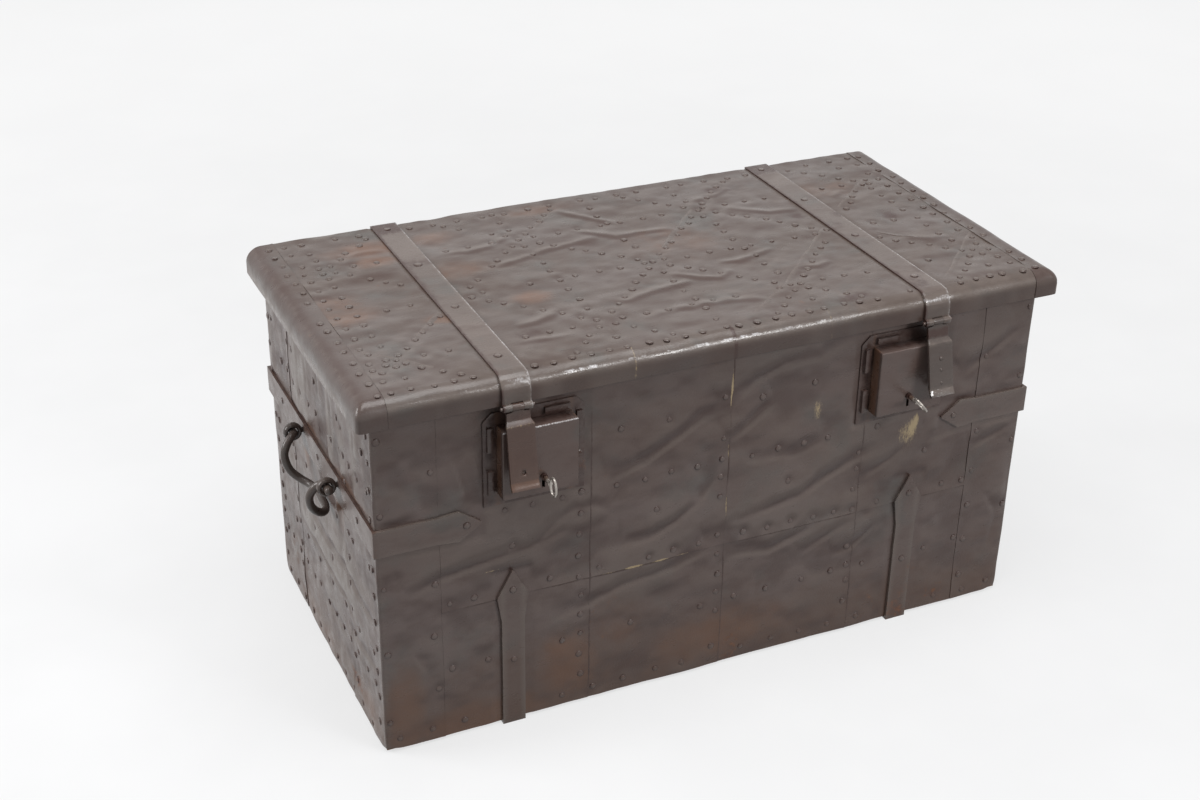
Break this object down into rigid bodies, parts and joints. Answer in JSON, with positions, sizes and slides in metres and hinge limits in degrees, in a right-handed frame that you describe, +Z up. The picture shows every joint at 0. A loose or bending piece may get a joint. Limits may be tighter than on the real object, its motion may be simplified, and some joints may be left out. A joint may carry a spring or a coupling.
{
  "type": "iron-clad wooden trunk",
  "caption": "Flat-lidded wooden chest clad in nailed sheet iron, with a hinged lid, hasps on iron straps closing over keyed box locks, pointed end straps and hanging bail handles.",
  "frame": {"origin": "on the floor, under the middle of the whole trunk's box with the lid closed and the keys in", "axes": "+X along the trunk's length to the right as seen from the front, front at -Y, +Z up"},
  "size_m": [1.0436, 0.554, 0.5351],
  "materials": {
    "board": "bare planed softwood, aged",
    "sheet_iron": "thin sheet iron, worn dark brown paint, dented, rust along the bottom",
    "lid_sheet_iron": "thin sheet iron, worn brown paint, creased, rust blooms and rubbed edges",
    "forged_iron": "forged flat bar under the same worn paint",
    "lock_iron": "hammered plate, worn dark paint",
    "key_steel": "bare steel, dulled",
    "handle_iron": "forged round rod, dark and rubbed smooth"
  },
  "bodies": {
    "chest": {"front_board": "board", "back_board": "board", "left_end_board": "board", "right_end_board": "board", "bottom_board": "board", "front_sheet_upper_1": "sheet_iron", "front_sheet_upper_2": "sheet_iron", "front_sheet_upper_3": "sheet_iron", "front_sheet_upper_4": "sheet_iron", "front_sheet_lower_1": "sheet_iron", "front_sheet_lower_2": "sheet_iron", "front_sheet_lower_3": "sheet_iron", "front_sheet_lower_4": "sheet_iron", "back_sheet_1": "sheet_iron", "back_sheet_2": "sheet_iron", "back_sheet_3": "sheet_iron", "back_sheet_4": "sheet_iron", "corner_sheet_front_left": "sheet_iron", "corner_sheet_front_right": "sheet_iron", "corner_sheet_back_left": "sheet_iron", "corner_sheet_back_right": "sheet_iron", "end_sheet_left": "sheet_iron", "end_sheet_right": "sheet_iron", "body_strap_left": "forged_iron", "body_strap_right": "forged_iron", "end_strap_left": "forged_iron", "end_strap_right": "forged_iron", "hinge_pin_left": "forged_iron", "hinge_pin_right": "forged_iron", "lock_plate_left": "lock_iron", "lock_plate_right": "lock_iron", "lock_case_left": "lock_iron", "lock_case_right": "lock_iron", "lock_spring_left": "key_steel", "lock_spring_right": "key_steel", "handle_eye_left_front": "handle_iron", "handle_eye_left_back": "handle_iron", "handle_eye_right_front": "handle_iron", "handle_eye_right_back": "handle_iron"},
    "lid": {"lid_board": "board", "lid_sheet_1": "lid_sheet_iron", "lid_sheet_2": "lid_sheet_iron", "lid_sheet_3": "lid_sheet_iron", "lid_sheet_4": "lid_sheet_iron", "lid_end_strip_left": "lid_sheet_iron", "lid_end_strip_right": "lid_sheet_iron", "lid_strap_left": "forged_iron", "lid_strap_right": "forged_iron", "hasp_pin_left": "forged_iron", "hasp_pin_right": "forged_iron"},
    "left_hasp": {"hasp_left": "forged_iron"},
    "right_hasp": {"hasp_right": "forged_iron"},
    "left_key": {"key_left": "key_steel"},
    "right_key": {"key_right": "key_steel"},
    "left_bolt": {"lock_bolt_left": "lock_iron"},
    "right_bolt": {"lock_bolt_right": "lock_iron"},
    "left_handle": {"handle_left": "handle_iron"},
    "right_handle": {"handle_right": "handle_iron"}
  },
  "joints": [
    {"name": "lid_hinge", "type": "hinge", "parent": "chest", "child": "lid", "pos_m": [0, 0.27095, 0.495], "axis": [-1, 0, 0], "range_deg": [0, 100]},
    {"name": "left_hasp_hinge", "type": "hinge", "parent": "lid", "child": "left_hasp", "pos_m": [-0.301, -0.23535, 0.493], "axis": [-1, 0, 0], "range_deg": [-9.5, 145]},
    {"name": "right_hasp_hinge", "type": "hinge", "parent": "lid", "child": "right_hasp", "pos_m": [0.301, -0.23535, 0.493], "axis": [-1, 0, 0], "range_deg": [-12.5, 142]},
    {"name": "left_key_turn", "type": "hinge", "parent": "chest", "child": "left_key", "pos_m": [-0.267, -0.23595, 0.3883], "axis": [0, -1, 0], "range_deg": [-38, 38]},
    {"name": "left_bolt_slide", "type": "slide", "parent": "chest", "child": "left_bolt", "axis": [-1, 0, 0], "range_m": [-0.0112, 0.0112]},
    {"name": "right_key_turn", "type": "hinge", "parent": "chest", "child": "right_key", "pos_m": [0.267, -0.23595, 0.3883], "axis": [0, 1, 0], "range_deg": [0, 76]},
    {"name": "right_bolt_slide", "type": "slide", "parent": "chest", "child": "right_bolt", "axis": [1, 0, 0], "range_m": [0, 0.0224]},
    {"name": "left_handle_swing", "type": "hinge", "parent": "chest", "child": "left_handle", "pos_m": [-0.498, 0.01075, 0.3333], "axis": [0, 1, 0], "range_deg": [0, 150]},
    {"name": "right_handle_swing", "type": "hinge", "parent": "chest", "child": "right_handle", "pos_m": [0.498, 0.01075, 0.3333], "axis": [0, -1, 0], "range_deg": [0, 150]}
  ],
  "couplings": [
    {"joint": "left_bolt_slide", "follows": "left_key_turn", "m_per_rad": 0.014852},
    {"joint": "right_bolt_slide", "follows": "right_key_turn", "m_per_rad": 0.014852}
  ]
}
